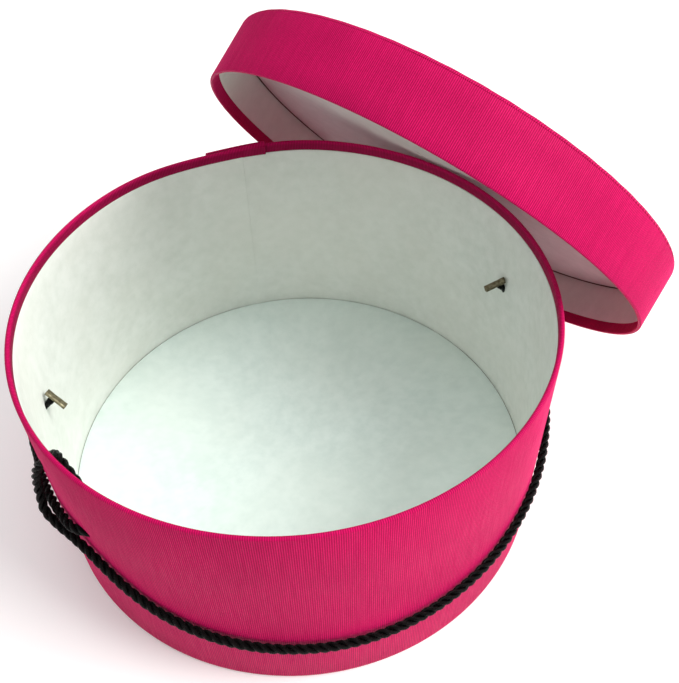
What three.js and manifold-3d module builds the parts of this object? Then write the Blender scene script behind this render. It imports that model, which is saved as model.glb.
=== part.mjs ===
// Round hat box with its lid off: a board drum covered in ribbed fabric and lined with paper,
// a twisted rope handle with a metal toggle clamped on each end, and a padded lid that stands
// on its edge and leans on the drum's rim. Millimetres, +Z up, origin under the drum's centre.

import * as THREE from 'three';
import { mergeVertices } from 'three/addons/utils/BufferGeometryUtils.js';
import Module from 'manifold-3d';

const wasm = await Module();
wasm.setup();

// ---------------------------------------------------------------- driving dimensions

const SEGMENTS = 72;                 // facets around every round piece
const LAP_SEGMENTS = 6;
const WALL_STEP = 50;                // most height of one facet of the drum's wall
const GAP = 0.3;                     // between pieces that are glued together

const FABRIC = 0.5;                  // covering cloth
const PAPER = 0.5;                   // lid lining
const LINER = 0.9;                   // drum lining, paper on thin card

const DRUM_RADIUS = 203;             // outside of the cloth
const DRUM_HEIGHT = 201;
const DRUM_BOARD = 1.8;
const DRUM_TURN_IN = 8.7;            // cloth folded down inside the rim
const DRUM_HEM = 15;                 // cloth folded under the base
const BASE_CARD = 0.8;
const BASE_CARD_RADIUS = 198;
const BASE_BOARD = 2;

const LAP_WIDTH = 55;                // where the covered wall overlaps itself at the back
const LAP_THICKNESS = 2.8;           // board and cloth of the outer end
const LAP_ANGLE = 99.5;              // degrees, middle of the overlap
const FLAT_DEPTH = 5.5;              // how far the rim is drawn in beside the overlap
const FLAT_ANGLE = 105;              // degrees, where it is drawn in the most
const FLAT_SPREAD = 15;              // degrees

const LID_RADIUS = 207.4;
const LID_HEIGHT = 55.2;
const LID_DEPTH = 44.9;              // opening to lining
const LID_BOARD = 1.3;
const LID_TOP_BOARD = 2;
const LID_TURN_IN = 10;
const LID_BAND_HEIGHT = 50.6;
const LID_SHOULDER = 10;             // width of the padded top's rounded edge
const LID_DIRECTION = 44.6;          // degrees from +X, the way the lid leans
const LID_AXIS_RISE = 34.8;          // degrees, lid axis above the floor
const FOOT_CLEARANCE = 0.4;
const RIM_CLEARANCE = 0.8;

const ROPE_DIAMETER = 7.2;
const ROPE_SIDES = 8;
const ROPE_STEPS = 96;
const ROPE_HOLE_CLEARANCE = 1.2;
const HOLE_SIDES = 16;
const HOLE_STEPS = 30;
const TIP_DIAMETER = 5.4;            // rope end, bound and pressed flat in the toggle
const TIP_OUTSIDE = 7.3;             // measured along the tip from the middle of the wall
const TIP_INSIDE = 12.5;
const TIP_HOLE_CLEARANCE = 0.7;
const TOGGLE = { length: 19, width: 5.5, thickness: 3.2, sheet: 0.8, grip: 0.38 };

const TOGGLE_TURN = -22;             // degrees about its tip, from lying in the tip's upright plane

// Each end of the rope: angle from +X, height of its hole, and how steeply the tip rises.
const ROPE_ENDS = {
  left: { angle: 181.5, height: 107, rise: 45 },
  right: { angle: 19, height: 123, rise: 50 },
};

// The rope's route from the left end to the right one: angle from +X in degrees, distance from
// the drum's axis, height. It enters the drum and comes out again at the near left.
const ROPE_ROUTE = [
  [181.5, 206.4, 101.6], [181.6, 209.6, 98.2], [182.2, 212.2, 94.8], [183.8, 213.6, 92.2],
  [186.4, 213.0, 91.2], [189.4, 210.8, 92.8], [193.0, 208.6, 96.5], [197.0, 207.8, 101.5],
  [201.0, 207.0, 106.0], [205.0, 207.0, 110.0], [209.0, 207.0, 112.7], [213.5, 207.0, 115.7],
  [217.4, 206.9, 118.0], [220.2, 203.6, 119.5],
  [222.6, 198.0, 121.0], [224.8, 192.4, 124.0], [226.2, 189.4, 131.0], [226.4, 190.2, 141.5],
  [225.0, 193.0, 152.0], [223.6, 194.4, 162.0], [221.4, 194.8, 172.0], [218.4, 194.6, 178.5],
  [215.2, 194.4, 180.6], [213.0, 194.4, 176.0], [210.8, 196.0, 168.0], [209.2, 200.4, 160.0],
  [208.2, 205.8, 153.0], [207.8, 208.8, 145.0], [207.6, 210.8, 135.0], [208.2, 212.6, 124.0],
  [210.0, 214.6, 114.0], [213.0, 212.3, 108.5], [217.0, 209.0, 105.2],
  [221.0, 207.3, 102.4], [225.5, 207.0, 97.0], [231.0, 207.0, 87.0], [238.0, 207.0, 76.0],
  [247.0, 207.0, 67.0], [256.0, 207.0, 61.5], [265.0, 207.0, 58.5], [275.0, 207.0, 57.0],
  [285.0, 207.0, 58.0], [295.0, 207.0, 61.0], [305.0, 207.0, 65.0], [314.0, 207.0, 69.5],
  [323.0, 207.0, 74.5], [331.0, 207.0, 78.5], [339.0, 207.0, 82.5], [347.0, 207.0, 88.0],
  [355.0, 207.0, 95.5], [362.0, 207.0, 101.5], [368.0, 208.2, 104.5], [373.0, 210.0, 106.0],
  [376.6, 211.8, 107.6], [378.6, 211.8, 110.4], [379.0, 209.4, 113.6], [379.0, 205.8, 117.2],
];
const ROPE_CROSSINGS = [[9, 17], [21, 29]];   // first and last route point near each wall hole

// ---------------------------------------------------------------- looks

const finish = {
  cloth: { color: 0xd81b6a, roughness: 0.75, metalness: 0 },
  board: { color: 0x9a9284, roughness: 0.95, metalness: 0 },
  paper: { color: 0xe4e8da, roughness: 0.85, metalness: 0 },
  wadding: { color: 0xf0efe8, roughness: 1, metalness: 0 },
  rope: { color: 0x0d0c0f, roughness: 0.6, metalness: 0 },
  toggle: { color: 0x6f6a56, roughness: 0.4, metalness: 0.9 },
};

function part(name, geometry, look) {
  const mesh = new THREE.Mesh(geometry, new THREE.MeshStandardMaterial(look));
  mesh.name = name;
  return mesh;
}

// ---------------------------------------------------------------- solids

const radians = THREE.MathUtils.degToRad;

function polar(angle, radius, height) {
  const a = radians(angle);
  return new THREE.Vector3(radius * Math.cos(a), radius * Math.sin(a), height);
}

// Welds a geometry and drops the triangles that have no area.
function weld(geometry) {
  geometry.deleteAttribute('normal');
  geometry.deleteAttribute('uv');
  const merged = mergeVertices(geometry, 1e-4);
  const old = merged.index.array;
  const kept = [];
  for (let i = 0; i < old.length; i += 3) {
    const [a, b, c] = [old[i], old[i + 1], old[i + 2]];
    if (a !== b && b !== c && c !== a) kept.push(a, b, c);
  }
  merged.setIndex(kept);
  return merged;
}

// Turns a profile of [radius, height] points about Z. The points run anticlockwise and either
// start and end on the axis or close on themselves.
function turned(profile) {
  const closed = profile[0][0] > 0 ? [...profile, profile[0]] : profile;
  const points = closed.map(([radius, height]) => new THREE.Vector2(radius, height));
  const geometry = new THREE.LatheGeometry(points, SEGMENTS);
  geometry.rotateX(Math.PI / 2);
  return weld(geometry);
}

function ring(inner, outer, bottom, top) {
  return turned([[inner, bottom], [outer, bottom], [outer, top], [inner, top]]);
}

function disc(radius, bottom, top) {
  return turned([[0, bottom], [radius, bottom], [radius, top], [0, top]]);
}

function toManifold(welded) {
  return new wasm.Manifold(new wasm.Mesh({
    numProp: 3,
    vertProperties: new Float32Array(welded.getAttribute('position').array),
    triVerts: new Uint32Array(welded.index.array),
  }));
}

function subtract(geometry, cutters) {
  let solid = toManifold(geometry);
  for (const cutter of cutters) solid = solid.subtract(toManifold(cutter));
  const mesh = solid.getMesh();
  const result = new THREE.BufferGeometry();
  result.setAttribute('position', new THREE.BufferAttribute(mesh.vertProperties, 3));
  result.setIndex(new THREE.BufferAttribute(mesh.triVerts, 1));
  return result;
}

function tube(route, radius, sides, steps) {
  const section = new THREE.Shape();
  for (let i = 0; i < sides; i += 1) {
    const a = (2 * Math.PI * i) / sides;
    const [x, y] = [radius * Math.cos(a), radius * Math.sin(a)];
    if (i === 0) section.moveTo(x, y);
    else section.lineTo(x, y);
  }
  const curve = new THREE.CatmullRomCurve3(route, false, 'centripetal');
  return weld(new THREE.ExtrudeGeometry(section, { steps, extrudePath: curve }));
}

// ---------------------------------------------------------------- rope ends and holes

const WALL = FABRIC + GAP + DRUM_BOARD + GAP + LINER;
const WALL_MIDDLE = DRUM_RADIUS - WALL / 2;

// The frame of one rope end: its hole, the way the tip rises into the drum, and the way the
// toggle's bar lies across it.
function ropeEnd({ angle, height, rise }) {
  const inward = polar(angle + 180, 1, 0);
  const up = new THREE.Vector3(0, 0, 1);
  const r = radians(rise);
  const along = inward.clone().multiplyScalar(Math.cos(r)).addScaledVector(up, Math.sin(r));
  const across = inward.clone().multiplyScalar(Math.sin(r)).addScaledVector(up, -Math.cos(r));
  across.applyAxisAngle(along, radians(TOGGLE_TURN));
  return { hole: polar(angle, WALL_MIDDLE, height), along, across };
}

function rod(end, radius, from, to) {
  const geometry = new THREE.CylinderGeometry(radius, radius, to - from, HOLE_SIDES);
  const turn = new THREE.Quaternion();
  turn.setFromUnitVectors(new THREE.Vector3(0, 1, 0), end.along);
  geometry.applyQuaternion(turn);
  const middle = end.hole.clone().addScaledVector(end.along, (from + to) / 2);
  geometry.translate(middle.x, middle.y, middle.z);
  return weld(geometry);
}

// A strip of sheet metal folded lengthwise into a U and squeezed flat over the rope's tip.
function toggleBar(end) {
  const { length, width, thickness, sheet, grip } = TOGGLE;
  const section = new THREE.Shape();
  section.moveTo(-width / 2, 0);
  section.lineTo(width / 2, 0);
  section.lineTo(width / 2, sheet);
  section.lineTo(-width / 2 + sheet, sheet);
  section.lineTo(-width / 2 + sheet, thickness - sheet);
  section.lineTo(width / 2, thickness - sheet);
  section.lineTo(width / 2, thickness);
  section.lineTo(-width / 2, thickness);
  section.closePath();
  const geometry = new THREE.ExtrudeGeometry(section, { depth: length, bevelEnabled: false });
  geometry.translate(0, 0, -length * grip);
  const side = new THREE.Vector3().crossVectors(end.along, end.across);
  const seat = end.hole.clone().addScaledVector(end.along, TIP_INSIDE + GAP);
  geometry.applyMatrix4(new THREE.Matrix4().makeBasis(side, end.along, end.across));
  geometry.translate(seat.x, seat.y, seat.z);
  return weld(geometry);
}

const ends = Object.fromEntries(
  Object.entries(ROPE_ENDS).map(([name, end]) => [name, ropeEnd(end)]),
);
const route = ROPE_ROUTE.map(([angle, radius, height]) => polar(angle, radius, height));

function wallHoles() {
  const tipHoles = Object.values(ends).map(
    (end) => rod(end, TIP_DIAMETER / 2 + TIP_HOLE_CLEARANCE, -TIP_OUTSIDE, TIP_INSIDE),
  );
  const ropeHoles = ROPE_CROSSINGS.map(([first, last]) => tube(
    route.slice(first, last + 1),
    ROPE_DIAMETER / 2 + ROPE_HOLE_CLEARANCE,
    HOLE_SIDES,
    HOLE_STEPS,
  ));
  return [...tipHoles, ...ropeHoles];
}

// ---------------------------------------------------------------- drum

const BOARD_BOTTOM = BASE_CARD + GAP + FABRIC + GAP;
const BOARD_OUTER = DRUM_RADIUS - FABRIC - GAP;
const BOARD_INNER = BOARD_OUTER - DRUM_BOARD;
const LINING_OUTER = BOARD_INNER - GAP;
const LINING_INNER = LINING_OUTER - LINER;
const FLOOR_UNDERSIDE = BOARD_BOTTOM + BASE_BOARD + GAP;

// Adds points along a profile's tall stretches, so that the wall can be bent smoothly.
function divided(profile) {
  return profile.flatMap(([radius, height], i) => {
    const [nextRadius, nextHeight] = profile[(i + 1) % profile.length];
    const steps = Math.max(1, Math.ceil(Math.abs(nextHeight - height) / WALL_STEP));
    return Array.from({ length: steps }, (_, k) => [
      radius + ((nextRadius - radius) * k) / steps,
      height + ((nextHeight - height) * k) / steps,
    ]);
  });
}

function wall(inner, outer, bottom, top) {
  const profile = [[inner, bottom], [outer, bottom], [outer, top], [inner, top]];
  return flatten(turned(divided(profile)));
}

// The cloth runs from its hem under the base, up the wall, over the rim and down inside.
function drumCloth() {
  const inner = DRUM_RADIUS - FABRIC;
  const hemBottom = BASE_CARD + GAP;
  const rimUnderside = DRUM_HEIGHT - FABRIC;
  const turnInBottom = DRUM_HEIGHT - DRUM_TURN_IN;
  return flatten(turned(divided([
    [DRUM_RADIUS - DRUM_HEM, hemBottom],
    [DRUM_RADIUS, hemBottom],
    [DRUM_RADIUS, DRUM_HEIGHT],
    [LINING_OUTER - FABRIC, DRUM_HEIGHT],
    [LINING_OUTER - FABRIC, turnInBottom],
    [LINING_OUTER, turnInBottom],
    [LINING_OUTER, rimUnderside],
    [inner, rimUnderside],
    [inner, hemBottom + FABRIC],
    [DRUM_RADIUS - DRUM_HEM, hemBottom + FABRIC],
  ])));
}

// The base keeps the wall's foot round, and the free rim is flatter beside the overlap.
function flatten(geometry) {
  const position = geometry.getAttribute('position');
  for (let i = 0; i < position.count; i += 1) {
    const [x, y, z] = [position.getX(i), position.getY(i), position.getZ(i)];
    const away = (THREE.MathUtils.radToDeg(Math.atan2(y, x)) - FLAT_ANGLE) / FLAT_SPREAD;
    const inward = FLAT_DEPTH * Math.exp(-away * away) * (z / DRUM_HEIGHT);
    const scale = 1 - inward / Math.hypot(x, y);
    position.setXY(i, x * scale, y * scale);
  }
  return geometry;
}

// A curved strip of wall as wide as the overlap less an inset at each end.
function lapSector(inner, outer, inset, bottom, top) {
  const half = (LAP_WIDTH / 2 - inset) / DRUM_RADIUS;
  const [from, to] = [radians(LAP_ANGLE) - half, radians(LAP_ANGLE) + half];
  const section = new THREE.Shape();
  section.absarc(0, 0, outer, from, to, false);
  section.absarc(0, 0, inner, to, from, true);
  section.closePath();
  const geometry = new THREE.ExtrudeGeometry(section, {
    depth: top - bottom,
    bevelEnabled: false,
    curveSegments: LAP_SEGMENTS,
    steps: Math.ceil((top - bottom) / WALL_STEP),
  });
  geometry.translate(0, 0, bottom);
  return flatten(weld(geometry));
}

// The covered wall is a strip whose outer end laps over its beginning: the board's end and the
// cloth folded round its edges.
function lap() {
  const bottom = BASE_CARD + GAP;
  const inner = DRUM_RADIUS + GAP;
  const outer = inner + LAP_THICKNESS;
  const fold = FABRIC + GAP;
  const whole = lapSector(inner, outer, 0, bottom, DRUM_HEIGHT);
  const pocket = lapSector(inner - GAP, outer - FABRIC, FABRIC, bottom - GAP, DRUM_HEIGHT - FABRIC);
  return {
    cloth: subtract(whole, [pocket]),
    board: lapSector(inner, outer - fold, fold, bottom, DRUM_HEIGHT - fold),
  };
}

function drum() {
  const group = new THREE.Group();
  const holes = wallHoles();
  const rimBoard = DRUM_HEIGHT - FABRIC - GAP;
  const rimLiner = DRUM_HEIGHT - DRUM_TURN_IN - GAP;
  const board = wall(BOARD_INNER, BOARD_OUTER, BOARD_BOTTOM, rimBoard);
  const liner = wall(LINING_INNER, LINING_OUTER, FLOOR_UNDERSIDE, rimLiner);
  const lapped = lap();
  const baseBoard = disc(BOARD_INNER - GAP, BOARD_BOTTOM, BOARD_BOTTOM + BASE_BOARD);
  const floor = disc(LINING_INNER - GAP, FLOOR_UNDERSIDE, FLOOR_UNDERSIDE + LINER);
  group.add(
    part('body_wall_board', subtract(board, holes), finish.board),
    part('body_base_board', baseBoard, finish.board),
    part('body_base_card', disc(BASE_CARD_RADIUS, 0, BASE_CARD), finish.board),
    part('body_fabric', subtract(drumCloth(), holes), finish.cloth),
    part('body_lap_board', lapped.board, finish.board),
    part('body_fabric_lap', lapped.cloth, finish.cloth),
    part('body_wall_liner', subtract(liner, holes), finish.paper),
    part('body_floor_liner', floor, finish.paper),
  );
  return group;
}

// ---------------------------------------------------------------- rope handle

function ropeHandle() {
  const group = new THREE.Group();
  const rope = tube(route, ROPE_DIAMETER / 2, ROPE_SIDES, ROPE_STEPS);
  group.add(part('handle_rope', rope, finish.rope));
  for (const [name, end] of Object.entries(ends)) {
    const tip = rod(end, TIP_DIAMETER / 2, -TIP_OUTSIDE + GAP, TIP_INSIDE);
    group.add(
      part(`${name}_rope_tip`, tip, finish.rope),
      part(`${name}_toggle_bar`, toggleBar(end), finish.toggle),
    );
  }
  return group;
}

// ---------------------------------------------------------------- lid

// Every lid piece is drawn with the opening's rim at height 0 and the top facing up.
const LID_BOARD_OUTER = LID_RADIUS - FABRIC - GAP;
const LID_BOARD_INNER = LID_BOARD_OUTER - LID_BOARD;
const LID_LINING_OUTER = LID_BOARD_INNER - GAP;
const LID_LINING_INNER = LID_LINING_OUTER - PAPER;
const LID_TOP_BOARD_BOTTOM = LID_DEPTH + PAPER + GAP;
const WADDING_BOTTOM = LID_TOP_BOARD_BOTTOM + LID_TOP_BOARD + GAP;

function lidBandCloth() {
  const inner = LID_RADIUS - FABRIC;
  const foldUnderside = LID_BAND_HEIGHT - FABRIC;
  return turned([
    [LID_LINING_INNER, 0],
    [LID_RADIUS, 0],
    [LID_RADIUS, LID_BAND_HEIGHT],
    [LID_BOARD_INNER, LID_BAND_HEIGHT],
    [LID_BOARD_INNER, foldUnderside],
    [inner, foldUnderside],
    [inner, FABRIC],
    [LID_LINING_OUTER, FABRIC],
    [LID_LINING_OUTER, LID_TURN_IN],
    [LID_LINING_INNER, LID_TURN_IN],
  ]);
}

// The shoulder of the padded top, as [radius, height] from the edge inward.
function shoulder(edgeRadius, edgeHeight, width, crown) {
  const points = [];
  const steps = 4;
  for (let i = 0; i <= steps; i += 1) {
    const a = (Math.PI / 2) * (i / steps);
    const radius = edgeRadius - width * (1 - Math.cos(a));
    points.push([radius, edgeHeight + (crown - edgeHeight) * Math.sin(a)]);
  }
  return points;
}

function lidTopCloth() {
  const edge = LID_BAND_HEIGHT + GAP;
  const radius = LID_RADIUS - FABRIC;
  const outside = shoulder(radius, edge, LID_SHOULDER, LID_HEIGHT);
  const inside = shoulder(radius - 2 * FABRIC, edge, LID_SHOULDER - FABRIC, LID_HEIGHT - FABRIC);
  return turned([[0, LID_HEIGHT - FABRIC], ...inside.reverse(), ...outside, [0, LID_HEIGHT]]);
}

function lidWadding() {
  const radius = LID_LINING_OUTER - 2 * FABRIC;
  const crown = LID_HEIGHT - FABRIC - GAP;
  const side = shoulder(radius, LID_BAND_HEIGHT, LID_SHOULDER - 2 * FABRIC, crown);
  return turned([[0, WADDING_BOTTOM], [radius, WADDING_BOTTOM], ...side, [0, crown]]);
}

function lid() {
  const group = new THREE.Group();
  const fold = FABRIC + GAP;
  const lining = LID_DEPTH + PAPER;
  const bandBoard = ring(LID_BOARD_INNER, LID_BOARD_OUTER, fold, LID_BAND_HEIGHT - fold);
  const topBoard = disc(LID_LINING_OUTER, LID_TOP_BOARD_BOTTOM, WADDING_BOTTOM - GAP);
  const bandLiner = ring(LID_LINING_INNER, LID_LINING_OUTER, LID_TURN_IN + GAP, lining);
  const topLiner = disc(LID_LINING_INNER - GAP, LID_DEPTH, lining);
  group.add(
    part('lid_band_board', bandBoard, finish.board),
    part('lid_top_board', topBoard, finish.board),
    part('lid_top_wadding', lidWadding(), finish.wadding),
    part('lid_band_fabric', lidBandCloth(), finish.cloth),
    part('lid_top_fabric', lidTopCloth(), finish.cloth),
    part('lid_band_liner', bandLiner, finish.paper),
    part('lid_top_liner', topLiner, finish.paper),
  );

  // The lowest point of the opening stands on the floor, and the drum's rim meets the lining.
  const rise = radians(LID_AXIS_RISE);
  const height = LID_RADIUS * Math.cos(rise) + FOOT_CLEARANCE;
  const reach = LID_DEPTH - RIM_CLEARANCE - (DRUM_HEIGHT - height) * Math.sin(rise);
  const distance = DRUM_RADIUS - reach / Math.cos(rise);
  group.position.copy(polar(LID_DIRECTION, distance, height));
  group.rotation.set(0, Math.PI / 2 - rise, radians(LID_DIRECTION), 'ZYX');
  return group;
}

// ---------------------------------------------------------------- hat box

const hatBox = new THREE.Group();
hatBox.add(drum(), ropeHandle(), lid());

export default hatBox;
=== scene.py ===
"""Looks of the round hat box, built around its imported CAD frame: ribbed cloth, paper lining,
twisted rope, folded toggles and a padded lid. Shapes are worked out in millimetres and stored in
metres, +Z up, in the frame's own axes."""

import math

import bmesh
import bpy
import numpy as np
from mathutils import Matrix, Vector


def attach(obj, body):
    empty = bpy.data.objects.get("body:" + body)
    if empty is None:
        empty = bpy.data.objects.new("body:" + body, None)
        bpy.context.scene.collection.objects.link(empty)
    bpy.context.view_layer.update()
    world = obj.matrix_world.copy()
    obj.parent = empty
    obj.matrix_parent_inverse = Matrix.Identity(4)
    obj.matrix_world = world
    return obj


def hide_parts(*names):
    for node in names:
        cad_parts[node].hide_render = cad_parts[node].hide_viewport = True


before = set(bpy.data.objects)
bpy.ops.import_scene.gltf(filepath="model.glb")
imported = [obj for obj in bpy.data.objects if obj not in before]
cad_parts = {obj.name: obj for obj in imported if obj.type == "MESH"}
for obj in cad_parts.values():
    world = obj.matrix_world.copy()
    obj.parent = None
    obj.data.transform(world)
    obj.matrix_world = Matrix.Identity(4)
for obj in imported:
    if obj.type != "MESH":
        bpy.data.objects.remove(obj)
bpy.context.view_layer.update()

# ---------------------------------------------------------------- driving dimensions

MM = 0.001
GAP = 0.3
FABRIC = 0.5
RIB_PITCH = 1.45
RIB_HEIGHT = 0.13
RIB_COLUMNS = 3

DRUM_RADIUS = 203
DRUM_HEIGHT = 201
DRUM_TURN_IN = 8.7
DRUM_HEM = 15
HEM_BOTTOM = 1.1
LINING_OUTER = 200.1
LINING_INNER = 199.2
FLOOR_TOP = 5.1
FLOOR_PAPER_THICKNESS = 0.9
FLOOR_SLIT = 0.6
BASE_CARD_RADIUS = 198
BASE_CARD = 0.8

LAP_WIDTH = 55
LAP_THICKNESS = 2.8
LAP_ANGLE = 99.5
RIM_STEP = 1.4
RIM_CREASE = 1.1
RIM_CREASE_DEPTH = 0.5
FLAT_DEPTH = 5.5
FLAT_ANGLE = 105
FLAT_SPREAD = 15
LINER_SEAM = 98

LID_RADIUS = 207.4
LID_INNER = 204.5
LID_LINING_OUTER = 205.0
LID_BOARD_INNER = 205.3
LID_HEIGHT = 55.2
LID_DEPTH = 44.9
LID_TURN_IN = 10
LID_BAND_HEIGHT = 50.6
LID_SHOULDER = 10
LID_PAPER = 0.5
LID_SEAM_SLIT = 1.2
LID_SEAM_GAP = 0.8
LID_DIRECTION = 44.6
LID_AXIS_RISE = 34.8
FOOT_CLEARANCE = 0.4
RIM_CLEARANCE = 0.8

ROPE_DIAMETER = 7.2
ROPE_PITCH = 22
TIP_DIAMETER = 5.4
TIP_OUTSIDE = 7.0
TIP_INSIDE = 12.5
WALL_MIDDLE = 201.1
TOGGLE = {"length": 19, "width": 5.5, "thickness": 3.2, "sheet": 0.8, "grip": 0.38}
TOGGLE_TURN = -22
ROPE_ENDS = {
    "left": {"angle": 181.5, "height": 107, "rise": 45},
    "right": {"angle": 19, "height": 123, "rise": 50},
}

# The rope's route from the left end to the right one: angle from +X in degrees, distance from
# the drum's axis, height.
ROPE_ROUTE = [
    (181.5, 206.4, 101.6), (181.6, 209.6, 98.2), (182.2, 212.2, 94.8), (183.8, 213.6, 92.2),
    (186.4, 213.0, 91.2), (189.4, 210.8, 92.8), (193.0, 208.6, 96.5), (197.0, 207.8, 101.5),
    (201.0, 207.0, 106.0), (205.0, 207.0, 110.0), (209.0, 207.0, 112.7), (213.5, 207.0, 115.7),
    (217.4, 206.9, 118.0), (220.2, 203.6, 119.5),
    (222.6, 198.0, 121.0), (224.8, 192.4, 124.0), (226.2, 189.4, 131.0), (226.4, 190.2, 141.5),
    (225.0, 193.0, 152.0), (223.6, 194.4, 162.0), (221.4, 194.8, 172.0), (218.4, 194.6, 178.5),
    (215.2, 194.4, 180.6), (213.0, 194.4, 176.0), (210.8, 196.0, 168.0), (209.2, 200.4, 160.0),
    (208.2, 205.8, 153.0), (207.8, 208.8, 145.0), (207.6, 210.8, 135.0), (208.2, 212.6, 124.0),
    (210.0, 214.6, 114.0), (213.0, 212.3, 108.5), (217.0, 209.0, 105.2),
    (221.0, 207.3, 102.4), (225.5, 207.0, 97.0), (231.0, 207.0, 87.0), (238.0, 207.0, 76.0),
    (247.0, 207.0, 67.0), (256.0, 207.0, 61.5), (265.0, 207.0, 58.5), (275.0, 207.0, 57.0),
    (285.0, 207.0, 58.0), (295.0, 207.0, 61.0), (305.0, 207.0, 65.0), (314.0, 207.0, 69.5),
    (323.0, 207.0, 74.5), (331.0, 207.0, 78.5), (339.0, 207.0, 82.5), (347.0, 207.0, 88.0),
    (355.0, 207.0, 95.5), (362.0, 207.0, 101.5), (368.0, 208.2, 104.5), (373.0, 210.0, 106.0),
    (376.6, 211.8, 107.6), (378.6, 211.8, 110.4), (379.0, 209.4, 113.6), (379.0, 205.8, 117.2),
]

# ---------------------------------------------------------------- camera

CAMERA_PLACE = Vector((0.0, -0.4619, 0.6467))
CAMERA_YAW = math.radians(4.82)
CAMERA_PITCH = math.radians(47.174)
CAMERA_ROLL = math.radians(-1.724)
CAMERA_LENS = 45.54


def make_camera():
    """The camera looks along +Y turned by the yaw, down by the pitch, then rolls."""
    data = bpy.data.cameras.new("camera")
    data.lens = CAMERA_LENS
    data.clip_start = 0.01
    camera = bpy.data.objects.new("camera", data)
    upright = Matrix.Rotation(math.pi / 2 - CAMERA_PITCH, 4, "X")
    turn = Matrix.Rotation(-CAMERA_YAW, 4, "Z")
    roll = Matrix.Rotation(CAMERA_ROLL, 4, "Z")
    camera.matrix_world = Matrix.Translation(CAMERA_PLACE) @ turn @ upright @ roll
    bpy.context.scene.collection.objects.link(camera)
    bpy.context.scene.camera = camera


make_camera()

# ---------------------------------------------------------------- material nodes


def add(tree, kind, inputs=None, **settings):
    """A new node of this kind. An input is a socket to link or a value to set."""
    node = tree.nodes.new(kind)
    for name, value in settings.items():
        setattr(node, name, value)
    for key, value in (inputs or {}).items():
        if isinstance(value, bpy.types.NodeSocket):
            tree.links.new(value, node.inputs[key])
        else:
            node.inputs[key].default_value = value
    return node


def maths(tree, operation, first, second=0.0, third=0.0):
    inputs = {0: first, 1: second, 2: third}
    return add(tree, "ShaderNodeMath", inputs, operation=operation).outputs[0]


def noise(tree, vector, scale, detail=3.0, roughness=0.5):
    inputs = {"Vector": vector, "Scale": scale, "Detail": detail, "Roughness": roughness}
    return add(tree, "ShaderNodeTexNoise", inputs).outputs["Fac"]


def spread(tree, value, low, high):
    """Maps a noise value, mostly 0.3 to 0.7, onto low to high."""
    inputs = {"Value": value, "From Min": 0.3, "From Max": 0.7, "To Min": low, "To Max": high}
    return add(tree, "ShaderNodeMapRange", inputs).outputs["Result"]


def blend_colours(tree, factor, first, second):
    inputs = {"Factor": factor, 6: first, 7: second}
    return add(tree, "ShaderNodeMix", inputs, data_type="RGBA").outputs[2]


def scaled(tree, vector, x, y, z=1.0):
    inputs = {"Vector": vector, "Scale": (x, y, z)}
    return add(tree, "ShaderNodeMapping", inputs).outputs["Vector"]


def bump(tree, height, distance, strength=1.0):
    inputs = {"Height": height, "Distance": distance * MM, "Strength": strength}
    return add(tree, "ShaderNodeBump", inputs).outputs["Normal"]


def new_material(name):
    material = bpy.data.materials.new(name)
    material.use_nodes = True
    shader = material.node_tree.nodes["Principled BSDF"]
    return material, material.node_tree, shader


def weave_axes(tree):
    """The two weave coordinates: rib number across, millimetres along."""
    uv = add(tree, "ShaderNodeUVMap", uv_map="weave").outputs["UV"]
    parts = add(tree, "ShaderNodeSeparateXYZ", {"Vector": uv})
    return uv, parts.outputs["X"], parts.outputs["Y"]


def object_place(tree):
    return add(tree, "ShaderNodeTexCoord").outputs["Object"]


# ---------------------------------------------------------------- materials

# Rib crest and valley colours: the valleys are painted darker, as the shade between the ribs.
CLOTH_CREST = (0.74, 0.007, 0.14, 1)
CLOTH_VALLEY_SHADE = (0.32, 0.002, 0.05, 1)
CROSS_YARN = 0.34
# The rim's inner half and the turn-in are painted darker, as the shade that falls inside the rim.
PAINTED_SHADE_FROM = DRUM_HEM + DRUM_HEIGHT - HEM_BOTTOM + 2
PAINTED_SHADE_FADE = 2.5
PAINTED_SHADE_LEVEL = 0.6


def painted_rim_shade(tree, along, start):
    """1 up to this many millimetres along the rib, then down to the painted shade inside the rim."""
    inputs = {
        "Value": along,
        "From Min": start,
        "From Max": start + PAINTED_SHADE_FADE,
        "To Min": 1.0,
        "To Max": PAINTED_SHADE_LEVEL,
    }
    return add(tree, "ShaderNodeMapRange", inputs).outputs["Result"]


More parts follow.
